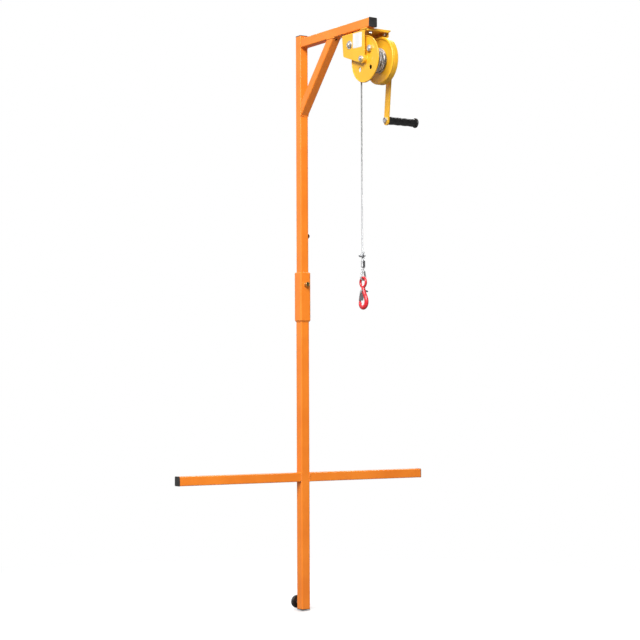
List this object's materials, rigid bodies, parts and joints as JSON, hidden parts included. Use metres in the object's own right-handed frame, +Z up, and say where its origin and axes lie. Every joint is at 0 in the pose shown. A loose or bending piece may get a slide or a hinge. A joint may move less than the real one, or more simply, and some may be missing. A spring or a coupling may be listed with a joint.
{
  "type": "portable hoist crane",
  "caption": "Portable hoist crane: a two-piece square mast on a crossbar, a braced jib and a hand winch with a geared rope drum, crank, ratchet and hanging eye hook.",
  "frame": {"origin": "on the mast's axis at the crossbar's underside, where the crossbar sits in its wall brackets", "axes": "+Z up along the mast, +X along the crossbar towards the crank's side, -Y along the jib, so +Y points at the wall"},
  "size_m": [0.95, 0.4995, 1.912],
  "materials": {
    "orange_paint": "semi-gloss powder coat",
    "yellow_paint": "semi-gloss powder coat",
    "zinc": "bright zinc plate",
    "yellow_zinc": "yellow zinc plate",
    "black_plastic": "moulded, matt",
    "pad_rubber": "moulded, matt",
    "grip_rubber": "moulded, satin",
    "friction_lining": "pressed lining",
    "rope_steel": "stranded galvanised wire",
    "ferrule_aluminium": "pressed",
    "red_paint": "gloss",
    "dark_steel": "dark plated"
  },
  "bodies": {
    "frame": {"lower_mast": "orange_paint", "mast_foot_plug": "black_plastic", "mast_sleeve": "orange_paint", "clamp_nut": "yellow_zinc", "clamp_bolt": "yellow_zinc", "crossbar_left_arm": "orange_paint", "crossbar_right_arm": "orange_paint", "left_arm_cap": "black_plastic", "right_arm_cap": "black_plastic", "pad_nut": "zinc"},
    "pad": {"wall_pad": "pad_rubber", "pad_stud": "zinc", "pad_lock_nut": "zinc"},
    "upper_section": {"upper_mast": "orange_paint", "mast_top_plug": "black_plastic", "side_bolt": "black_plastic", "jib_arm": "orange_paint", "jib_end_cap": "black_plastic", "jib_brace": "orange_paint", "winch_mount_bars": "yellow_paint", "winch_mount_nuts": "zinc", "winch_bracket": "yellow_paint", "drum_bolt": "zinc", "drum_spacer": "zinc", "tie_bolt": "zinc", "tie_spacer": "yellow_paint", "bracket_washers": "zinc", "bracket_nuts": "zinc", "shaft_bush": "zinc", "pawl_pin": "zinc", "pawl_spring": "dark_steel", "hoist_rope": "rope_steel"},
    "drum": {"drum_barrel": "yellow_paint", "drum_left_flange": "yellow_paint", "drum_gear_flange": "yellow_paint", "rope_clamp_bolt": "zinc", "rope_clamp_nut": "zinc", "rope_core": "rope_steel", "wound_rope": "rope_steel"},
    "crank": {"pinion_shaft": "zinc", "friction_discs": "friction_lining", "ratchet_wheel": "zinc", "crank_hub": "zinc", "crank_arm": "yellow_paint", "crank_nut": "zinc", "grip_bolt": "zinc", "grip_nut": "zinc"},
    "grip": {"crank_grip": "grip_rubber"},
    "pawl": {"pawl": "zinc"},
    "hook_end": {"rope_eye": "rope_steel", "rope_thimble": "zinc", "rope_ferrule": "ferrule_aluminium", "rope_clip_saddle": "zinc", "rope_clip_u_bolt": "zinc", "rope_clip_nuts": "zinc"},
    "hook": {"hook_body": "red_paint", "latch_pin": "dark_steel", "latch_spring": "dark_steel"},
    "latch": {"hook_latch": "dark_steel"}
  },
  "joints": [
    {"name": "pad_screw", "type": "slide", "parent": "frame", "child": "pad", "axis": [0, 1, 0], "range_m": [0, 0.02]},
    {"name": "mast_slide", "type": "slide", "parent": "frame", "child": "upper_section", "axis": [0, 0, 1], "range_m": [0, 0.08]},
    {"name": "drum_spin", "type": "hinge", "parent": "upper_section", "child": "drum", "pos_m": [0, -0.378, 1.352], "axis": [1, 0, 0], "range_deg": [0, 604.8], "deforming": ["hoist_rope"]},
    {"name": "crank_turn", "type": "hinge", "parent": "upper_section", "child": "crank", "pos_m": [0, -0.378, 1.3995], "axis": [1, 0, 0], "range_deg": [0, 2520.1], "deforming": ["hoist_rope"]},
    {"name": "grip_spin", "type": "hinge", "parent": "crank", "child": "grip", "pos_m": [0, -0.35326, 1.16802], "axis": [1, 0, 0], "continuous": true},
    {"name": "pawl_swing", "type": "hinge", "parent": "upper_section", "child": "pawl", "pos_m": [0, -0.3388, 1.4162], "axis": [1, 0, 0], "range_deg": [-20, 8.2], "stiffness_Nm_per_rad": 0.1},
    {"name": "hook_lift", "type": "slide", "parent": "upper_section", "child": "hook_end", "axis": [0, 0, 1], "range_m": [0, 0.396], "deforming": ["hoist_rope"]},
    {"name": "hook_swing", "type": "hinge", "parent": "hook_end", "child": "hook", "pos_m": [0.0117, -0.3405, 0.65192], "axis": [1, 0, 0], "range_deg": [-35, 35]},
    {"name": "latch_swing", "type": "hinge", "parent": "hook", "child": "latch", "pos_m": [0.0117, -0.34357, 0.61722], "axis": [-1, 0, 0], "range_deg": [0, 35], "stiffness_Nm_per_rad": 0.01, "springref_deg": -34.38}
  ],
  "couplings": [
    {"joint": "crank_turn", "follows": "drum_spin", "ratio": 4.1667},
    {"joint": "hook_lift", "follows": "drum_spin", "m_per_rad": 0.0375}
  ]
}
